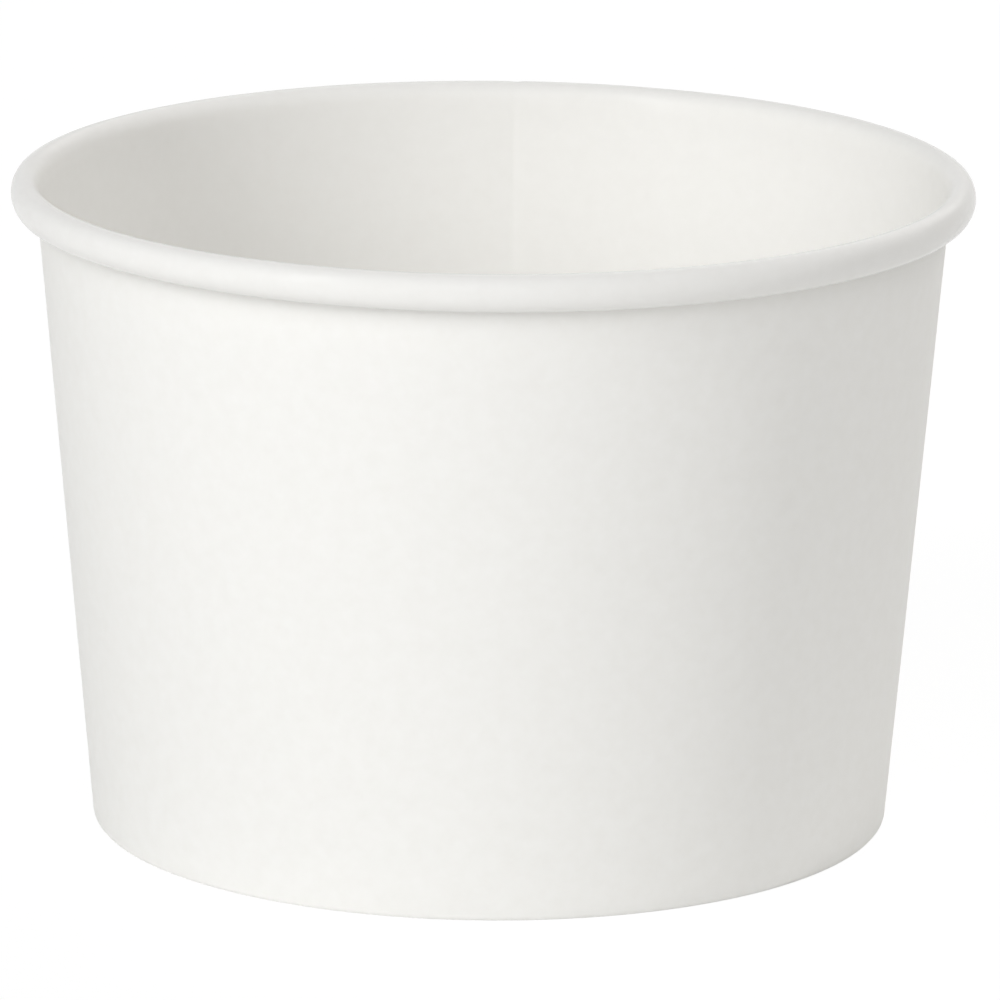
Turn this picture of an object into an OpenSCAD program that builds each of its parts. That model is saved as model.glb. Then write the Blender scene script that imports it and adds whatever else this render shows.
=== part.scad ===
// Paper soup cup, made of two blanks of white coated board.
// The side blank is wrapped into a tapered wall with a lapped seam at the back. Its top edge is
// rolled outwards into the rim, and its bottom edge is folded in and up to make the foot.
// The bottom disc is a shallow dish turned upside down. Its skirt is held inside the folded foot.

/* [Cup] */
// Diameter over the rolled rim
rim_d = 90; // [84:0.5:110]
// Diameter over the wall where it stands on the table
foot_d = 75; // [60:0.5:80]
// Height from the table to the top of the rim
cup_h = 61.5; // [35:0.5:140]

/* [Board] */
// Thickness of the side blank
wall_t = 0.4; // [0.3:0.05:0.5]
// Thickness of the bottom disc
disc_t = 0.35; // [0.25:0.05:0.5]
// Film of sealant between boards that lie on each other
seal_t = 0.03; // [0.02:0.01:0.06]

/* [Rolled rim] */
// Width of the roll, square to the wall, from the inside of the wall to the outside of the roll
roll_w = 2.75; // [2.4:0.05:3.5]
// Height of the roll, along the wall
roll_h = 3.5; // [3.3:0.1:5]
// Gap between the underside of the roll and the wall
roll_gap = 0.15; // [0.1:0.05:0.3]
// Length of the tail that turns up inside the roll
tail_len = 0.9; // [0.4:0.1:1.2]

/* [Foot] */
// Height of the floor of the cup above the table
floor_z = 6.5; // [6.2:0.1:12]
// Inside radius of the bend from the floor to the skirt
floor_bend_r = 0.8; // [0.5:0.1:1]
// Length of the hem that is folded up inside the skirt
hem_len = 4.5; // [3:0.1:4.6]
// Depth to which the fold is pressed flat where it stands
foot_press = 0.12; // [0.06:0.02:0.2]

/* [Side seam] */
// Width of the lap, where the two ends of the side blank lie on each other
lap_w = 7; // [4:0.5:12]
// Height of the step at the outer end of the blank, after pressing
lap_step = 0.24; // [0.15:0.01:0.28]
// Depth of the valley beside the inner end, which is skived and pressed flatter
edge_step = 0.1; // [0.05:0.01:0.2]
// Width of the ramp beside the inner end, where the outer ply comes down to the wall
ramp_w = 2.5; // [2:0.1:4]
// Width of the crushed edge of the inner end
edge_w = 0.6; // [0.4:0.1:1]
// Turn of the inner end from the back of the cup, clockwise from above, in degrees
seam_turn = 2.7; // [-30:0.1:30]

/* [Hidden] */

$fn = 96;
board_white = [0.96, 0.96, 0.94];
// How far a cutter passes the faces that it cuts
overrun = 1;
// How far the corners of a wedge lie out, as a share of the radius that it cuts
wedge_reach_share = 2;
// Flat sides of the arc of such a wedge
wedge_sides = 4;
// How far a layer of the lap is bedded in the ply below, as a share of the wall
bed_share = 0.5;
// Angles between which the two sectors of the floor's bend share its middle
bend_from = 30;
bend_to = 60;
// How far a ramp runs on past the face that it fades into, as a share of its width
ramp_run_share = 1.25;

foot_r = foot_d / 2;
rim_r = rim_d / 2;

// The section is drawn in the wall's own frame: x is square to the wall, outwards from its outer
// face, and y runs up the wall from the table.

// The roll is an oval about a centre that lies this far outside the wall
roll_half_w = roll_w / 2;
roll_half_h = roll_h / 2;
roll_x = roll_half_w - wall_t;
// The taper brings the oval to the rim's radius and the cup's height. The oval leans with the wall,
// so its own reach and rise change a little with the taper, and a few rounds settle both.
taper = taper_past(taper_past(taper_past(0)));
roll_y = (cup_h - oval_rise(taper) + roll_x * sin(taper)) / cos(taper);
roll_bottom_y = roll_y - roll_half_h;
// Below, the edge of the blank turns in to the wall and up in a tighter arc
roll_under_r = roll_x - roll_gap;
roll_under_y = roll_bottom_y + roll_under_r;

// Wall, skirt and hem lie on each other in the foot, and the wall is folded round to the hem
foot_stack = 2 * wall_t + disc_t + 2 * seal_t;
fold_r = foot_stack / 2;
fold_y = (fold_r - foot_press - fold_r * sin(taper)) / cos(taper);

// The bend at the edge of the floor touches the floor's plane and the inside of the wall
bend_r = floor_bend_r + disc_t;
bend_x = -wall_t - seal_t - bend_r;
bend_y = (floor_z - bend_r + bend_x * sin(taper)) / cos(taper);
bend_centre_r = foot_r + bend_y * sin(taper) + bend_x * cos(taper);

// The side seam
seam_angle = 90 - seam_turn;
lap_angle = girth_angle(lap_w);
lap_bed = wall_t * bed_share;
lap_top_y = roll_bottom_y - roll_gap;

// Reach of the leaning oval from its centre, outwards and upwards
function oval_reach(lean) = norm([roll_half_w * cos(lean), roll_half_h * sin(lean)]);
function oval_rise(lean) = norm([roll_half_w * sin(lean), roll_half_h * cos(lean)]);

// Taper of a wall from the foot that passes the centre of an oval with a given lean
function taper_past(lean) =
    let (reach = rim_r - oval_reach(lean) - foot_r, rise = cup_h - oval_rise(lean))
    acos(roll_x / norm([reach, rise])) - atan2(rise, reach);

// Angle that a length along the wall's girth takes up, halfway up the wall
function girth_angle(along) = along / (foot_r + rim_r) * 360 / PI;

// Drop of the round wall below its tangent plane, at a distance along that plane
function round_drop(along) = along * along / (foot_r + rim_r);

// Moves a section from the wall's frame to its place beside the cup's axis
module on_wall() translate([foot_r, 0]) rotate(-taper) children();

// Moves a solid from the wall's frame to the line of the seam, with x outwards, y along the
// wall's girth and z up the wall
module on_seam() rotate([0, 0, seam_angle]) translate([foot_r, 0, 0]) rotate([0, taper, 0]) children();

// A straight run of board in section, from one height to another
module straight(x, thickness, low, high) {
    polygon([[x, low], [x + thickness, low], [x + thickness, high], [x, high]]);
}

// A wedge between two angles about its point, which passes a given radius
module wedge(radius, from, to) {
    far = radius * wedge_reach_share;
    step = (to - from) / wedge_sides;
    corners = [for (i = [0 : wedge_sides]) far * [cos(from + i * step), sin(from + i * step)]];
    polygon(concat([[0, 0]], corners));
}

// A bend of board in section, between two angles about its centre
module bend(outer_r, thickness, from, to) {
    intersection() {
        difference() {
            circle(r = outer_r);
            circle(r = outer_r - thickness);
        }
        wedge(outer_r, from, to);
    }
}

// An oval with a given half width and half height
module oval(half_w, half_h) scale([half_w, half_h]) circle();

// The roll at the top: over and out, down the outside, back in below and up inside
module roll_section() {
    translate([roll_x, roll_y]) intersection() {
        difference() {
            oval(roll_half_w, roll_half_h);
            oval(roll_half_w - wall_t, roll_half_h - wall_t);
        }
        wedge(roll_half_h, -90, 180);
    }
    translate([roll_x, roll_under_y]) bend(roll_under_r, wall_t, 180, 270);
    straight(roll_gap, wall_t, roll_under_y, roll_under_y + tail_len);
}

// The fold at the foot: round below the skirt, and up inside it as the hem
module foot_section() {
    translate([-fold_r, fold_y]) bend(fold_r, wall_t, 180, 360);
    straight(-foot_stack, wall_t, fold_y, fold_y + hem_len);
}

// The extra ply on the outside of the wall, the fold and the hem along the lap
module lap_section() {
    straight(-lap_bed, lap_bed + lap_step, fold_y, lap_top_y);
    translate([-fold_r, fold_y]) bend(fold_r + lap_step, lap_step + lap_bed, 180, 360);
    straight(-foot_stack - lap_step, lap_step + lap_bed, fold_y, fold_y + hem_len);
}

// Keeps the part of a section that stands above the table
module above_table() {
    intersection() {
        children();
        square([rim_d, cup_h + overrun]);
    }
}

// The outer ply of the lap. It ends in a raw edge on one side of the seam, and on the other side it
// comes down to the wall in a ramp.
module lap_ply() {
    fall = lap_step + round_drop(ramp_w);
    difference() {
        rotate([0, 0, seam_angle - lap_angle])
            rotate_extrude(angle = lap_angle + girth_angle(ramp_w * ramp_run_share))
                above_table() on_wall() lap_section();
        on_seam() translate([0, 0, -overrun]) linear_extrude(lap_top_y + 2 * overrun)
            polygon([
                [lap_step + fall, -ramp_w],
                [lap_step - 2 * fall, 2 * ramp_w],
                [lap_step + fall, 2 * ramp_w]
            ]);
    }
}

// The valley beside the inner end, seen inside the cup: steep at the crushed edge of the inner
// ply and shallow where the outer ply comes up to the wall's inner face
module seam_valley() {
    ramp_fall = edge_step + round_drop(ramp_w);
    edge_fall = edge_step + round_drop(edge_w);
    bottom = edge_step - wall_t;
    on_seam() translate([0, 0, bend_y]) linear_extrude(roll_y + roll_half_h - bend_y)
        polygon([
            [bottom, 0],
            [bottom - ramp_fall * ramp_run_share, ramp_w * ramp_run_share],
            [bottom - edge_fall * ramp_run_share, -edge_w * ramp_run_share]
        ]);
}

// The side blank: wall, rolled rim, folded foot and lapped seam in one sheet
module side_wall() {
    color(board_white) difference() {
        union() {
            rotate_extrude() above_table() on_wall() {
                straight(-wall_t, wall_t, fold_y, roll_y);
                roll_section();
                foot_section();
            }
            lap_ply();
        }
        seam_valley();
    }
}

// The bottom disc: floor, bend and skirt in one sheet. The bend is drawn in two sectors that
// share its middle, one square to the floor and one square to the wall.
module bottom_disc() {
    color(board_white) rotate_extrude() {
        straight(0, bend_centre_r, floor_z - disc_t, floor_z);
        translate([bend_centre_r, floor_z - bend_r]) {
            bend(bend_r, disc_t, bend_from, 90);
            rotate(-taper) {
                bend(bend_r, disc_t, 0, bend_to);
                straight(floor_bend_r, disc_t, fold_y + seal_t - bend_y, 0);
            }
        }
    }
}

side_wall();
bottom_disc();
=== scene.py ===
"""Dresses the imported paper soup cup.

The side sheet has a rolled rim, a lapped seam and a knurled hem, and the bottom disc is held in it.
"""
import math

import bpy
from mathutils import Matrix, Vector, noise


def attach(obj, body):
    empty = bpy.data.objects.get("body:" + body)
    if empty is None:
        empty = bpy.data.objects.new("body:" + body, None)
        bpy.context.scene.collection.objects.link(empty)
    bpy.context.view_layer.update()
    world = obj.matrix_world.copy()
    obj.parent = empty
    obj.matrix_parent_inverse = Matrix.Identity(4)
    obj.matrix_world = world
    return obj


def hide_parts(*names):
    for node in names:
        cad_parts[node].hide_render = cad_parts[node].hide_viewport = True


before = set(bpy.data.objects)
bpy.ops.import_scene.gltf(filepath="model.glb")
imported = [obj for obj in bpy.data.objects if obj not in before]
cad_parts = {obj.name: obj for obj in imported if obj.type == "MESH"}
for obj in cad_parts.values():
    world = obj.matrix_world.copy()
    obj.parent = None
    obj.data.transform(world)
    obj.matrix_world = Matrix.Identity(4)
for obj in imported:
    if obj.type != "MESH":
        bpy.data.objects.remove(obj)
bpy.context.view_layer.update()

# Sizes of the solids, in millimetres and degrees
RIM_R = 45.0
FOOT_R = 37.5
CUP_H = 61.5
WALL_T = 0.4
DISC_T = 0.35
SEAL_T = 0.03
ROLL_W = 2.75
ROLL_H = 3.5
ROLL_GAP = 0.15
TAIL_LEN = 0.9
FLOOR_Z = 6.5
FLOOR_BEND_R = 0.8
HEM_LEN = 4.5
FOOT_PRESS = 0.12
LAP_W = 7.0
LAP_STEP = 0.24
RAMP_W = 2.5
EDGE_W = 0.6
SEAM_TURN = 2.7

# Places that follow from the sizes, in the wall's frame: x outwards from its outer face, y up the wall
ROLL_HALF_W = ROLL_W / 2
ROLL_HALF_H = ROLL_H / 2
ROLL_X = ROLL_HALF_W - WALL_T


def oval_reach(lean):
    """Reach of the leaning roll outwards from its centre."""
    return math.hypot(ROLL_HALF_W * math.cos(lean), ROLL_HALF_H * math.sin(lean))


def oval_rise(lean):
    """Rise of the leaning roll above its centre."""
    return math.hypot(ROLL_HALF_W * math.sin(lean), ROLL_HALF_H * math.cos(lean))


def taper_past(lean):
    """Taper of a wall from the foot that passes the centre of a roll with a given lean."""
    reach = RIM_R - oval_reach(lean) - FOOT_R
    rise = CUP_H - oval_rise(lean)
    return math.acos(ROLL_X / math.hypot(reach, rise)) - math.atan2(rise, reach)


TAPER = taper_past(taper_past(taper_past(0.0)))
SIN_T = math.sin(TAPER)
COS_T = math.cos(TAPER)
ROLL_Y = (CUP_H - oval_rise(TAPER) + ROLL_X * SIN_T) / COS_T
UNDER_R = ROLL_X - ROLL_GAP
UNDER_Y = ROLL_Y - ROLL_HALF_H + UNDER_R
STACK = 2 * WALL_T + DISC_T + 2 * SEAL_T
FOLD_R = STACK / 2
FOLD_Y = (FOLD_R - FOOT_PRESS - FOLD_R * SIN_T) / COS_T
BEND_R = FLOOR_BEND_R + DISC_T
BEND_X = -WALL_T - SEAL_T - BEND_R
BEND_Y = (FLOOR_Z - BEND_R + BEND_X * SIN_T) / COS_T
LAP_TOP_Y = ROLL_Y - ROLL_HALF_H - ROLL_GAP
SEAM_ANGLE = math.radians(90 - SEAM_TURN)
MEAN_R = (FOOT_R + RIM_R) / 2

MM = 0.001
TURN = 2 * math.pi
SHARP_ANGLE = math.radians(35)
# Places of the materials in a piece's list
MATT = 0
SATIN = 1
CUT = 2


def smooth(low, high, value):
    """0 below low, 1 above high, with a soft start and end."""
    t = min(1.0, max(0.0, (value - low) / (high - low)))
    return t * t * (3 - 2 * t)


def ramp(low, high, value):
    """0 below low, 1 above high, straight between."""
    return min(1.0, max(0.0, (value - low) / (high - low)))


def place(x, y, angle):
    """A point of the wall's frame at an angle round the cup, in metres, never below the table."""
    r = FOOT_R + x * COS_T + y * SIN_T
    z = max(0.0, y * COS_T - x * SIN_T)
    return (r * math.cos(angle) * MM, r * math.sin(angle) * MM, z * MM)


# The side sheet

# The knurl of the hem: ribs round the cup, their depth, and the distances from the hem's lower and
# upper end at which the depth starts and is full
KNURL_RIBS = 100
KNURL_DEPTH = 0.12
KNURL_LOW = (0.2, 0.9)
KNURL_HIGH = (0.3, 0.9)
# Steep run at the raw outer end of the lap
LAP_EDGE_W = 0.1
# The valley beside the inner end, its run-out at the floor, and the notch on the roll above it
VALLEY_DEPTH = 0.05
VALLEY_END = 0.1
NOTCH_DEPTH = 0.06
NOTCH_W = 0.9
# The peak along the seam: its height and width, its share low on the wall, the distances below the
# lap's top between which it grows and from which it goes, and its run-out above the floor's bend
PEAK = 0.13
PEAK_W = 7.0
PEAK_LOW_SHARE = 0.3
PEAK_GROWS = (20, 4)
PEAK_GOES = 1
PEAK_START = 10
# Unevenness of the wall: its depth, the heights between which it comes in, and the distance below
# the lap's top from which it goes
WALL_DRIFT = 0.05
DRIFT_STARTS = (8, 20)
DRIFT_ENDS = 9
# Its pattern: waves to a millimetre, their stretch up the wall, and the share, scale and shift of a
# second and finer set
WAVE_SCALE = 0.055
WAVE_UP = 0.45
FINE_SHARE = 0.4
FINE_SCALE = 2.7
FINE_SHIFT = Vector((9.1, 3.3, 5.7))
# Flattening of the roll by its forming tool, and how far up the pattern it is taken from
ROLL_PRESS = 0.03
ROLL_SHIFT = 40
# Steps along each stretch of the sheet, from the hem to the tail
HEM_STEPS = 8
FOLD_STEPS = 8
FOOT_STEPS = 3
WALL_STEPS = 14
LAP_END_STEPS = 1
BEHIND_ROLL_STEPS = 4
ROLL_STEPS = 28
UNDER_STEPS = 6
TAIL_STEPS = 2
# Even steps round the cup, and the distances along the girth from the inner end of the finer ones
RING_STEPS = 600
AT_LAP = [-LAP_W - 0.5, -LAP_W - 0.15, -LAP_W, -LAP_W + LAP_EDGE_W, -LAP_W + 0.3]
AT_PLY = [-6.4 + 0.5 * i for i in range(11)]
AT_INNER_END = [-EDGE_W - 0.15, -EDGE_W, -0.45, -0.3, -0.15, 0.0, 0.15, 0.35, 0.6, 0.9]
AT_RAMP = [1.2, 1.5, 1.8, 2.1, 2.3, RAMP_W, RAMP_W + 0.25, RAMP_W + 0.6]


def run(zone, x, low, high, normal, count):
    """Stations on a straight stretch: middle of the board, normal of its outer face, zone."""
    steps = [low + (high - low) * i / count for i in range(count)]
    return [(x, y, normal, 0.0, zone) for y in steps]


def curve(zone, x, y, half_w, half_h, start, end, facing, count):
    """Stations round a bend of the sheet, at the half width and height of the middle of the board."""
    out = []
    for i in range(count):
        a = math.radians(start + (end - start) * i / count)
        c, s = math.cos(a), math.sin(a)
        out.append((x + half_w * c, y + half_h * s, facing * c, facing * s, zone))
    return out


def sheet_stations():
    """All stations along the sheet, from the top of the hem to the tail inside the roll."""
    half = WALL_T / 2
    fold = FOLD_R - half
    wide = ROLL_HALF_W - half
    high = ROLL_HALF_H - half
    under = UNDER_R - half
    lap_end = LAP_TOP_Y + ROLL_GAP
    stations = run("hem", half - STACK, FOLD_Y + HEM_LEN, FOLD_Y, -1.0, HEM_STEPS)
    stations += curve("fold", -FOLD_R, FOLD_Y, fold, fold, 180, 360, 1.0, FOLD_STEPS)
    stations += run("wall", -half, FOLD_Y, BEND_Y, 1.0, FOOT_STEPS)
    stations += run("wall", -half, BEND_Y, LAP_TOP_Y, 1.0, WALL_STEPS)
    stations += run("wall", -half, LAP_TOP_Y, lap_end, 1.0, LAP_END_STEPS)
    stations += run("wall", -half, lap_end, ROLL_Y, 1.0, BEHIND_ROLL_STEPS)
    stations += curve("roll", ROLL_X, ROLL_Y, wide, high, 180, -90, -1.0, ROLL_STEPS)
    stations += curve("roll", ROLL_X, UNDER_Y, under, under, -90, -180, -1.0, UNDER_STEPS)
    stations += run("tail", ROLL_GAP + half, UNDER_Y, UNDER_Y + TAIL_LEN, 1.0, TAIL_STEPS)
    stations.append((ROLL_GAP + half, UNDER_Y + TAIL_LEN, 1.0, 0.0, "tail"))
    return stations


def lap_height(s):
    """Height of the outer ply above the wall, at a distance along the girth from the inner end."""
    return LAP_STEP * ramp(-LAP_W, -LAP_W + LAP_EDGE_W, s) * (1 - ramp(0, RAMP_W, s))


def valley_depth(s):
    """Depth of the valley beside the crushed inner end, which the coating has mostly filled."""
    return VALLEY_DEPTH * ramp(-EDGE_W, 0, s) * (1 - ramp(0, RAMP_W, s))


def notch_depth(s):
    """Depth of the soft notch that the inner end leaves in the top of the roll."""
    return NOTCH_DEPTH * smooth(-NOTCH_W, 0, s) * (1 - smooth(0, NOTCH_W, s))


def seam_peak(s, y):
    """How far the wall stands out in a flat peak along the seam, where the stiff lap resists the bend."""
    near = max(0.0, 1 - abs(s) / PEAK_W) ** 2
    grown = smooth(LAP_TOP_Y - PEAK_GROWS[0], LAP_TOP_Y - PEAK_GROWS[1], y)
    below_roll = 1 - smooth(LAP_TOP_Y - PEAK_GOES, ROLL_Y, y)
    return PEAK * near * (PEAK_LOW_SHARE + (1 - PEAK_LOW_SHARE) * grown) * below_roll


def wave(y, angle):
    """Slow unevenness of the formed board, mostly within 1 either way."""
    r = FOOT_R + y * SIN_T
    p = Vector((r * math.cos(angle), r * math.sin(angle), y * WAVE_UP)) * WAVE_SCALE
    return noise.noise(p) + FINE_SHARE * noise.noise(p * FINE_SCALE + FINE_SHIFT)


def sheet_offsets(station, angle):
    """How far the outer and the inner face of the board move along the outer face's normal."""
    x, y, _, _, zone = station
    s = (angle - SEAM_ANGLE) * MEAN_R
    if zone == "hem":
        rib = (0.5 - 0.5 * math.cos(KNURL_RIBS * angle)) ** 2
        top = FOLD_Y + HEM_LEN
        band = smooth(FOLD_Y + KNURL_LOW[0], FOLD_Y + KNURL_LOW[1], y)
        band *= 1 - smooth(top - KNURL_HIGH[1], top - KNURL_HIGH[0], y)
        return lap_height(s) - KNURL_DEPTH * rib * band, 0.0
    if zone == "fold":
        return lap_height(s), 0.0
    if zone == "wall":
        drift = WALL_DRIFT * wave(y, angle) * smooth(*DRIFT_STARTS, y)
        drift *= 1 - smooth(LAP_TOP_Y - DRIFT_ENDS, LAP_TOP_Y, y)
        drift += seam_peak(s, y) * smooth(BEND_Y, BEND_Y + PEAK_START, y)
        lap = lap_height(s) if y <= LAP_TOP_Y else 0.0
        valley = valley_depth(s) * smooth(BEND_Y - VALLEY_END, BEND_Y, y)
        return drift + lap, drift + valley
    if zone == "roll":
        press = max(0.0, ROLL_PRESS + ROLL_PRESS * wave(y + ROLL_SHIFT, angle))
        over = ramp(-WALL_T, ROLL_X, x)
        return 0.0, press + notch_depth(s) * over + valley_depth(s) * (1 - over)
    return 0.0, 0.0


def ring_angles():
    """Angles round the cup: even steps, and finer ones across the lapped seam."""
    seam = AT_LAP + AT_PLY + AT_INNER_END + AT_RAMP
    angles = [SEAM_ANGLE + s / MEAN_R for s in seam]
    start = angles[-1]
    span = angles[0] + TURN - start
    count = round(span / TURN * RING_STEPS)
    angles += [start + span * i / count for i in range(1, count)]
    return angles


def loft(name, loops, materials, face_material):
    """Joins closed loops of points round the cup into one closed mesh."""
    count = len(loops[0])
    points = [p for loop in loops for p in loop]
    faces = []
    slots = []
    for i in range(len(loops)):
        here = i * count
        there = (i + 1) % len(loops) * count
        for j in range(count):
            k = (j + 1) % count
            faces.append((here + j, there + j, there + k, here + k))
            slots.append(face_material(j))
    return make_mesh(name, points, faces, slots, materials)


def make_mesh(name, points, faces, slots, materials):
    """A smooth mesh object with a material per face, sharp where faces meet at a clear angle."""
    mesh = bpy.data.meshes.new(name)
    mesh.from_pydata(points, [], faces)
    for material in materials:
        mesh.materials.append(material)
    mesh.polygons.foreach_set("material_index", slots)
    mesh.polygons.foreach_set("use_smooth", [True] * len(faces))
    mesh.update()
    mesh.set_sharp_from_angle(angle=SHARP_ANGLE)
    obj = bpy.data.objects.new(name, mesh)
    bpy.context.scene.collection.objects.link(obj)
    return obj


def side_sheet(matt, satin, edge):
    """The side blank: matt outside, satin inside and on the roll, raw along its hem and its tail."""
    stations = sheet_stations()
    half = WALL_T / 2
    loops = []
    for angle in ring_angles():
        outer = []
        inner = []
        for station in stations:
            x, y, nx, ny, _ = station
            move_out, move_in = sheet_offsets(station, angle)
            outer.append(place(x + nx * (half + move_out), y + ny * (half + move_out), angle))
            inner.append(place(x - nx * (half - move_in), y - ny * (half - move_in), angle))
        loops.append(outer + inner[::-1])
    count = len(stations)

    def face_material(j):
        """Material of the faces that follow a point of the loop."""
        if j == count - 1 or j == 2 * count - 1:
            return CUT
        return MATT if j < count else SATIN

    return loft("side_sheet", loops, [matt, satin, edge], face_material)


# The bottom disc

# Steps round the disc, rings of its floor as shares of the floor's radius, and steps of its bend on
# both faces and of its skirt
DISC_STEPS = 360
DISC_RING_SHARES = [0.12, 0.3, 0.5, 0.68, 0.84, 0.95]
TOP_BEND_STEPS = 9
UNDER_BEND_STEPS = 7
SKIRT_STEPS = 4


def disc_section():
    """The disc's section as radius and height: floor to skirt on top, then back along its underside."""
    centre_r = FOOT_R + BEND_Y * SIN_T + BEND_X * COS_T
    centre_z = FLOOR_Z - BEND_R
    skirt = BEND_Y - FOLD_Y - SEAL_T

    def skirt_point(radius, fall):
        """A point of the skirt, at a distance down from the end of the bend."""
        return (centre_r + radius * COS_T - fall * SIN_T, centre_z - radius * SIN_T - fall * COS_T)

    def bend(radius, count):
        """Points round the bend, from the floor to the skirt."""
        arc = [math.pi / 2 - (math.pi / 2 + TAPER) * i / count for i in range(count + 1)]
        return [(centre_r + radius * math.cos(a), centre_z + radius * math.sin(a)) for a in arc]

    def face(height, radius, count):
        """One face of the disc, from its floor to the end of its skirt."""
        floor = [(centre_r * share, height) for share in DISC_RING_SHARES]
        falls = [skirt * i / SKIRT_STEPS for i in range(1, SKIRT_STEPS + 1)]
        return floor + bend(radius, count) + [skirt_point(radius, fall) for fall in falls]

    top = face(FLOOR_Z, BEND_R, TOP_BEND_STEPS)
    under = face(FLOOR_Z - DISC_T, FLOOR_BEND_R, UNDER_BEND_STEPS)
    return top, under[::-1]


def bottom_disc(matt, satin, edge):
    """The disc: satin on its floor and the outside of its skirt, matt below, raw at the skirt's end."""
    top, under = disc_section()
    section = top + under
    points = [(0, 0, FLOOR_Z * MM), (0, 0, (FLOOR_Z - DISC_T) * MM)]
    for i in range(DISC_STEPS):
        a = TURN * i / DISC_STEPS
        points += [(r * math.cos(a) * MM, r * math.sin(a) * MM, z * MM) for r, z in section]
    count = len(section)
    faces = []
    slots = []
    for i in range(DISC_STEPS):
        here = 2 + i * count
        there = 2 + (i + 1) % DISC_STEPS * count
        faces.append((0, here, there))
        slots.append(SATIN)
        for j in range(count - 1):
            faces.append((here + j, here + j + 1, there + j + 1, there + j))
            slots.append(CUT if j == len(top) - 1 else SATIN if j < len(top) else MATT)
        faces.append((1, there + count - 1, here + count - 1))
        slots.append(MATT)
    return make_mesh("bottom_disc_board", points, faces, slots, [matt, satin, edge])


# Materials

# The stretch of the noise that carries most of its values
NOISE_LOW = 0.3
NOISE_HIGH = 0.7
# Noises of the board: features in a metre, octaves and their roughness
FORMATION = (700, 4, 0.6)
FIBRES = (3600, 3, 0.65)
SLOW = (260, 2, 0.5)
LAYERS = (2600, 4, 0.7)
LAYER_STRETCH = (0.35, 0.35, 2.2)
# Heights of the bumps in millimetres
FIBRE_HEIGHT = 0.012
SLOW_HEIGHT = 0.03
LAYER_HEIGHT = 0.04
# Where the painted shade on the roll is full, as a share of its width from the outside
ROLL_SHADE_SHARE = 0.6
# The raw cut of the board
CUT_TONES = ((0.76, 0.74, 0.68), (0.9, 0.885, 0.845))
CUT_ROUGHNESS = (0.75, 0.95)
CUT_BUMP = 0.5
CUT_SPECULAR = 0.25


def new_material(name):
    """A material with one Principled shader, and the coordinates of the piece."""
    material = bpy.data.materials.new(name)
    material.use_nodes = True
    tree = material.node_tree
    tree.nodes.clear()
    shader = tree.nodes.new("ShaderNodeBsdfPrincipled")
    output = tree.nodes.new("ShaderNodeOutputMaterial")
    tree.links.new(shader.outputs["BSDF"], output.inputs["Surface"])
    coords = tree.nodes.new("ShaderNodeTexCoord")
    return material, tree, shader, coords.outputs["Object"]


def noise_node(tree, vector, kind, stretch=None):
    """Noise of a kind that is given as its scale, detail and roughness."""
    scale, detail, roughness = kind
    if stretch:
        mapping = tree.nodes.new("ShaderNodeMapping")
        mapping.inputs["Scale"].default_value = stretch
        tree.links.new(vector, mapping.inputs["Vector"])
        vector = mapping.outputs["Vector"]
    node = tree.nodes.new("ShaderNodeTexNoise")
    node.inputs["Scale"].default_value = scale
    node.inputs["Detail"].default_value = detail
    node.inputs["Roughness"].default_value = roughness
    tree.links.new(vector, node.inputs["Vector"])
    return node.outputs["Fac"]


def colour_ramp(tree, factor, low, high):
    """A colour between two, across the middle of the noise."""
    node = tree.nodes.new("ShaderNodeValToRGB")
    node.color_ramp.elements[0].position = NOISE_LOW
    node.color_ramp.elements[0].color = (*low, 1)
    node.color_ramp.elements[1].position = NOISE_HIGH
    node.color_ramp.elements[1].color = (*high, 1)
    tree.links.new(factor, node.inputs["Fac"])
    return node.outputs["Color"]


def value_range(tree, factor, low, high):
    """A number between two, across the middle of the noise."""
    node = tree.nodes.new("ShaderNodeMapRange")
    node.inputs["From Min"].default_value = NOISE_LOW
    node.inputs["From Max"].default_value = NOISE_HIGH
    node.inputs["To Min"].default_value = low
    node.inputs["To Max"].default_value = high
    tree.links.new(factor, node.inputs["Value"])
    return node.outputs["Result"]


def bump(tree, height, distance, strength, below=None):
    """A bump of a height in millimetres, on top of another one if there is one."""
    node = tree.nodes.new("ShaderNodeBump")
    node.inputs["Distance"].default_value = distance * MM
    node.inputs["Strength"].default_value = strength
    tree.links.new(height, node.inputs["Height"])
    if below:
        tree.links.new(below, node.inputs["Normal"])
    return node.outputs["Normal"]


def roll_shade_mask(tree, coords):
    """Mask of the painted shade on the roll: 0 on the wall and 1 on the outer part of the roll, by the
    distance from the cup's axis.
    """
    flat = tree.nodes.new("ShaderNodeVectorMath")
    flat.operation = "MULTIPLY"
    flat.inputs[1].default_value = (1, 1, 0)
    tree.links.new(coords, flat.inputs[0])
    radius = tree.nodes.new("ShaderNodeVectorMath")
    radius.operation = "LENGTH"
    tree.links.new(flat.outputs["Vector"], radius.inputs[0])
    share = tree.nodes.new("ShaderNodeMapRange")
    share.inputs["From Min"].default_value = (RIM_R - ROLL_W) * MM
    share.inputs["From Max"].default_value = (RIM_R - ROLL_SHADE_SHARE * ROLL_W) * MM
    tree.links.new(radius.outputs["Value"], share.inputs["Value"])
    return share.outputs["Result"]


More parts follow.
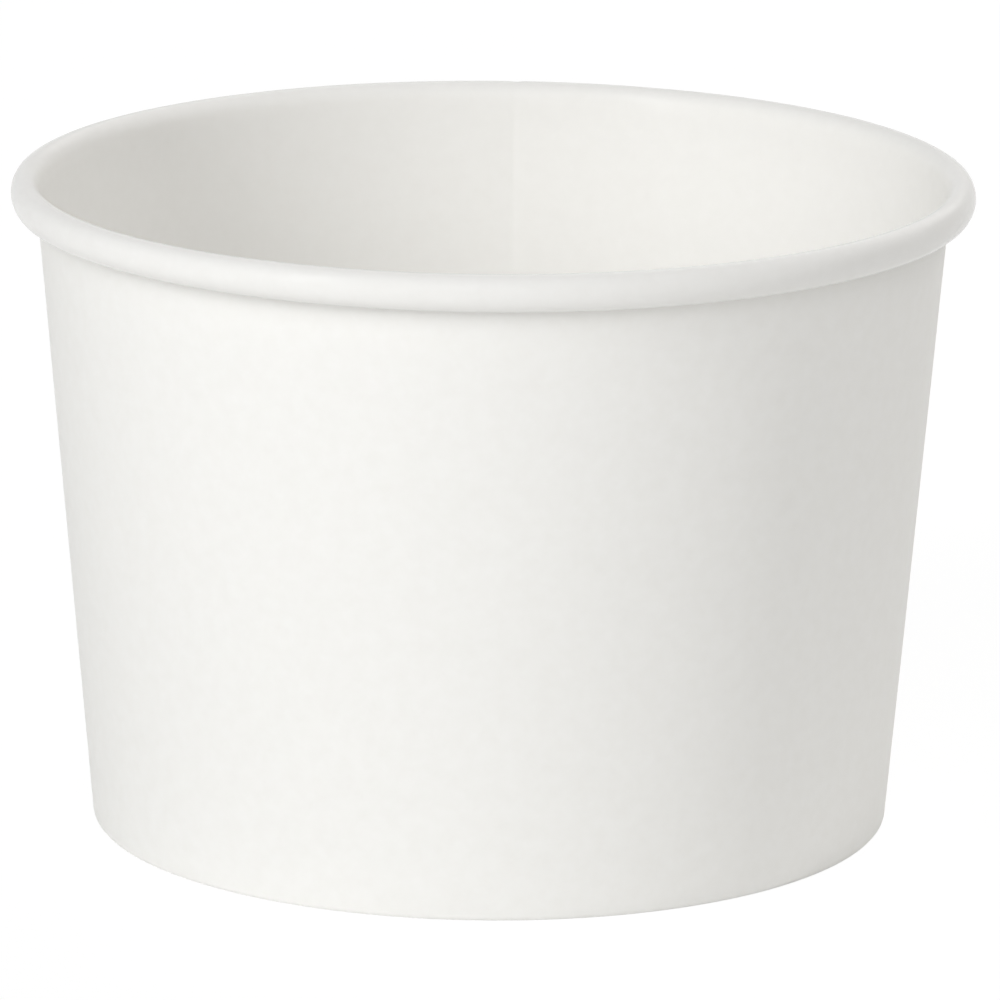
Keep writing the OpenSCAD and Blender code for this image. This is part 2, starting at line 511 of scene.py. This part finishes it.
def board_material(name, tones, roughness, fibre, cloud, specular, roll_painted_shade=None):
    """White cup board: cloudy formation in its colour, fine fibres and slow unevenness in its surface.

    The tones and the roughness are a low and a high one, and so are the darker tones of painted shade on
    the roll.
    """
    material, tree, shader, coords = new_material(name)
    formation = noise_node(tree, coords, FORMATION)
    fibres = noise_node(tree, coords, FIBRES)
    slow = noise_node(tree, coords, SLOW)
    colour = colour_ramp(tree, formation, *tones)
    # Painted shade: the outer part of the roll gets darker tones, for the shade on its top and ends.
    if roll_painted_shade:
        mix = tree.nodes.new("ShaderNodeMix")
        mix.data_type = "RGBA"
        tree.links.new(roll_shade_mask(tree, coords), mix.inputs["Factor"])
        tree.links.new(colour, mix.inputs["A"])
        tree.links.new(colour_ramp(tree, formation, *roll_painted_shade), mix.inputs["B"])
        colour = mix.outputs["Result"]
    tree.links.new(colour, shader.inputs["Base Color"])
    tree.links.new(value_range(tree, fibres, *roughness), shader.inputs["Roughness"])
    uneven = bump(tree, slow, SLOW_HEIGHT, cloud)
    tree.links.new(bump(tree, fibres, FIBRE_HEIGHT, fibre, uneven), shader.inputs["Normal"])
    shader.inputs["Specular IOR Level"].default_value = specular
    return material


def edge_material():
    """The raw cut of the board: fibres in layers, a little darker than the faces."""
    material, tree, shader, coords = new_material("board_cut_edge")
    layers = noise_node(tree, coords, LAYERS, LAYER_STRETCH)
    tree.links.new(colour_ramp(tree, layers, *CUT_TONES), shader.inputs["Base Color"])
    tree.links.new(value_range(tree, layers, *CUT_ROUGHNESS), shader.inputs["Roughness"])
    tree.links.new(bump(tree, layers, LAYER_HEIGHT, CUT_BUMP), shader.inputs["Normal"])
    shader.inputs["Specular IOR Level"].default_value = CUT_SPECULAR
    return material


# The set

# The floor: radii of its rings in metres, steps round it and its colour where it is lit
FLOOR_RINGS = [0.06, 0.12, 0.3, 0.8, 2.0]
FLOOR_STEPS = 96
FLOOR_COLOUR = (0.94, 0.94, 0.935, 1)
# Share of plain white in the floor as it is seen. The rest shows the light and the cup's shadow.
FLOOR_WHITE_SHARE = 0.92
FLOOR_WHITE = 1.03
# Strength of the even light from all round, and the colours of the lamps
AMBIENT = 0.23
COOL = (0.99, 0.997, 1.0)
PLAIN = (0.996, 0.992, 0.983)
WARM = (1.0, 0.983, 0.957)
LAMPS = [
    # name, azimuth from the camera towards the left and elevation in degrees,
    # distance, width and height in metres, power in watts, colour
    ("key", 46, 28, 2.0, 0.25, 1.8, 18.0, COOL),
    ("front", 0, 30, 2.0, 1.6, 1.6, 11.2, PLAIN),
    ("side", -115, 36, 2.0, 1.6, 1.6, 9.5, WARM),
    ("back", -155, 38, 2.0, 1.6, 1.6, 9.1, WARM),
]


def seen_directly(tree):
    """1 for rays from the camera and in reflections, 0 for rays that gather light."""
    path = tree.nodes.new("ShaderNodeLightPath")
    seen = path.outputs["Is Camera Ray"]
    for name in ("Is Glossy Ray", "Is Transmission Ray"):
        either = tree.nodes.new("ShaderNodeMath")
        either.operation = "MAXIMUM"
        tree.links.new(seen, either.inputs[0])
        tree.links.new(path.outputs[name], either.inputs[1])
        seen = either.outputs["Value"]
    return seen


def make_world():
    """Even light from all round, white where it is seen."""
    world = bpy.data.worlds.new("white_room")
    bpy.context.scene.world = world
    world.use_nodes = True
    tree = world.node_tree
    tree.nodes.clear()
    background = tree.nodes.new("ShaderNodeBackground")
    output = tree.nodes.new("ShaderNodeOutputWorld")
    background.inputs["Color"].default_value = (1, 1, 1, 1)
    strength = tree.nodes.new("ShaderNodeMapRange")
    strength.inputs["To Min"].default_value = AMBIENT
    strength.inputs["To Max"].default_value = 1.0
    tree.links.new(seen_directly(tree), strength.inputs["Value"])
    tree.links.new(strength.outputs["Result"], background.inputs["Strength"])
    tree.links.new(background.outputs["Background"], output.inputs["Surface"])


def make_floor():
    """A round white floor that keeps a faint shadow."""
    steps = range(FLOOR_STEPS)
    points = [(0, 0, 0)]
    for r in FLOOR_RINGS:
        angles = [TURN * i / FLOOR_STEPS for i in steps]
        points += [(r * math.cos(a), r * math.sin(a), 0) for a in angles]
    faces = [(0, 1 + i, 1 + (i + 1) % FLOOR_STEPS) for i in steps]
    for ring in range(len(FLOOR_RINGS) - 1):
        here = 1 + ring * FLOOR_STEPS
        there = here + FLOOR_STEPS
        for i in steps:
            k = (i + 1) % FLOOR_STEPS
            faces.append((here + i, there + i, there + k, here + k))
    material = bpy.data.materials.new("white_floor")
    material.use_nodes = True
    tree = material.node_tree
    tree.nodes.clear()
    output = tree.nodes.new("ShaderNodeOutputMaterial")
    lit = tree.nodes.new("ShaderNodeBsdfDiffuse")
    lit.inputs["Color"].default_value = FLOOR_COLOUR
    white = tree.nodes.new("ShaderNodeEmission")
    white.inputs["Strength"].default_value = FLOOR_WHITE
    share = tree.nodes.new("ShaderNodeMath")
    share.operation = "MULTIPLY"
    share.inputs[1].default_value = FLOOR_WHITE_SHARE
    mix = tree.nodes.new("ShaderNodeMixShader")
    tree.links.new(seen_directly(tree), share.inputs[0])
    tree.links.new(share.outputs["Value"], mix.inputs["Fac"])
    tree.links.new(lit.outputs["BSDF"], mix.inputs[1])
    tree.links.new(white.outputs["Emission"], mix.inputs[2])
    tree.links.new(mix.outputs["Shader"], output.inputs["Surface"])
    mesh = bpy.data.meshes.new("floor")
    mesh.from_pydata(points, [], faces)
    mesh.materials.append(material)
    floor = bpy.data.objects.new("floor", mesh)
    bpy.context.scene.collection.objects.link(floor)


def aim(obj, target, roll=0.0):
    """Turns a lamp or camera towards a point, with its top up apart from the roll."""
    forward = (target - obj.location).normalized()
    turn = forward.to_track_quat("-Z", "Y").to_matrix() @ Matrix.Rotation(roll, 3, "Z")
    obj.rotation_euler = turn.to_euler()


def make_lamps():
    """Soft lamps round the cup, aimed at its middle."""
    centre = Vector((0, 0, CUP_H / 2 * MM))
    for name, azimuth, elevation, distance, width, height, power, colour in LAMPS:
        light = bpy.data.lights.new(name, "AREA")
        light.shape = "ELLIPSE"
        light.size = width
        light.size_y = height
        light.energy = power
        light.color = colour
        lamp = bpy.data.objects.new(name, light)
        bpy.context.scene.collection.objects.link(lamp)
        a, e = math.radians(azimuth), math.radians(elevation)
        away = Vector((-math.sin(a) * math.cos(e), -math.cos(a) * math.cos(e), math.sin(e)))
        lamp.location = centre + distance * away
        aim(lamp, centre)


# The camera stands where the photograph was taken from. Its distance is in metres, its lens and
# sensor are in millimetres, and so is the point that it looks at, from the middle of the cup.
CAMERA_DISTANCE = 0.7975
CAMERA_ELEVATION = math.radians(14.04)
CAMERA_ROLL = math.radians(0.43)
CAMERA_LENS = 305.0
CAMERA_SENSOR = 36
CAMERA_CLIP = 0.01
AIM_RIGHT = 0.83
AIM_DOWN = 0.73


def make_camera():
    """The camera in front of the cup, aimed beside its middle."""
    data = bpy.data.cameras.new("camera")
    data.sensor_width = CAMERA_SENSOR
    data.lens = CAMERA_LENS
    data.clip_start = CAMERA_CLIP
    camera = bpy.data.objects.new("camera", data)
    bpy.context.scene.collection.objects.link(camera)
    centre = Vector((0, 0, CUP_H / 2 * MM))
    back = Vector((0, -math.cos(CAMERA_ELEVATION), math.sin(CAMERA_ELEVATION)))
    up = Vector((0, math.sin(CAMERA_ELEVATION), math.cos(CAMERA_ELEVATION)))
    camera.location = centre + back * CAMERA_DISTANCE
    aim(camera, centre + Vector((AIM_RIGHT * MM, 0, 0)) - up * (AIM_DOWN * MM), CAMERA_ROLL)
    bpy.context.scene.camera = camera


matt_board = board_material(
    "matt_board",
    tones=((0.899, 0.892, 0.867), (0.919, 0.914, 0.893)),
    roughness=(0.62, 0.74),
    fibre=0.1,
    cloud=0.1,
    specular=0.15,
)
satin_board_painted_light_and_shade = board_material(
    "satin_board_painted_light_and_shade",
    # Painted light: the inside tones are lighter than the matt board's, for the light that shines into
    # the cup through the thin board.
    tones=((0.948, 0.94, 0.915), (0.962, 0.955, 0.932)),
    roughness=(0.22, 0.25),
    fibre=0.02,
    cloud=0.08,
    specular=0.07,
    # Painted shade: darker tones on the outer part of the roll.
    roll_painted_shade=((0.878, 0.871, 0.851), (0.895, 0.889, 0.871)),
)
cut_edge = edge_material()

sheet = side_sheet(matt_board, satin_board_painted_light_and_shade, cut_edge)
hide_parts("side_wall")
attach(sheet, "root")

disc = bottom_disc(matt_board, satin_board_painted_light_and_shade, cut_edge)
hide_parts("bottom_disc")
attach(disc, "root")

make_world()
make_floor()
make_lamps()
make_camera()
bpy.context.scene.view_settings.view_transform = "Standard"
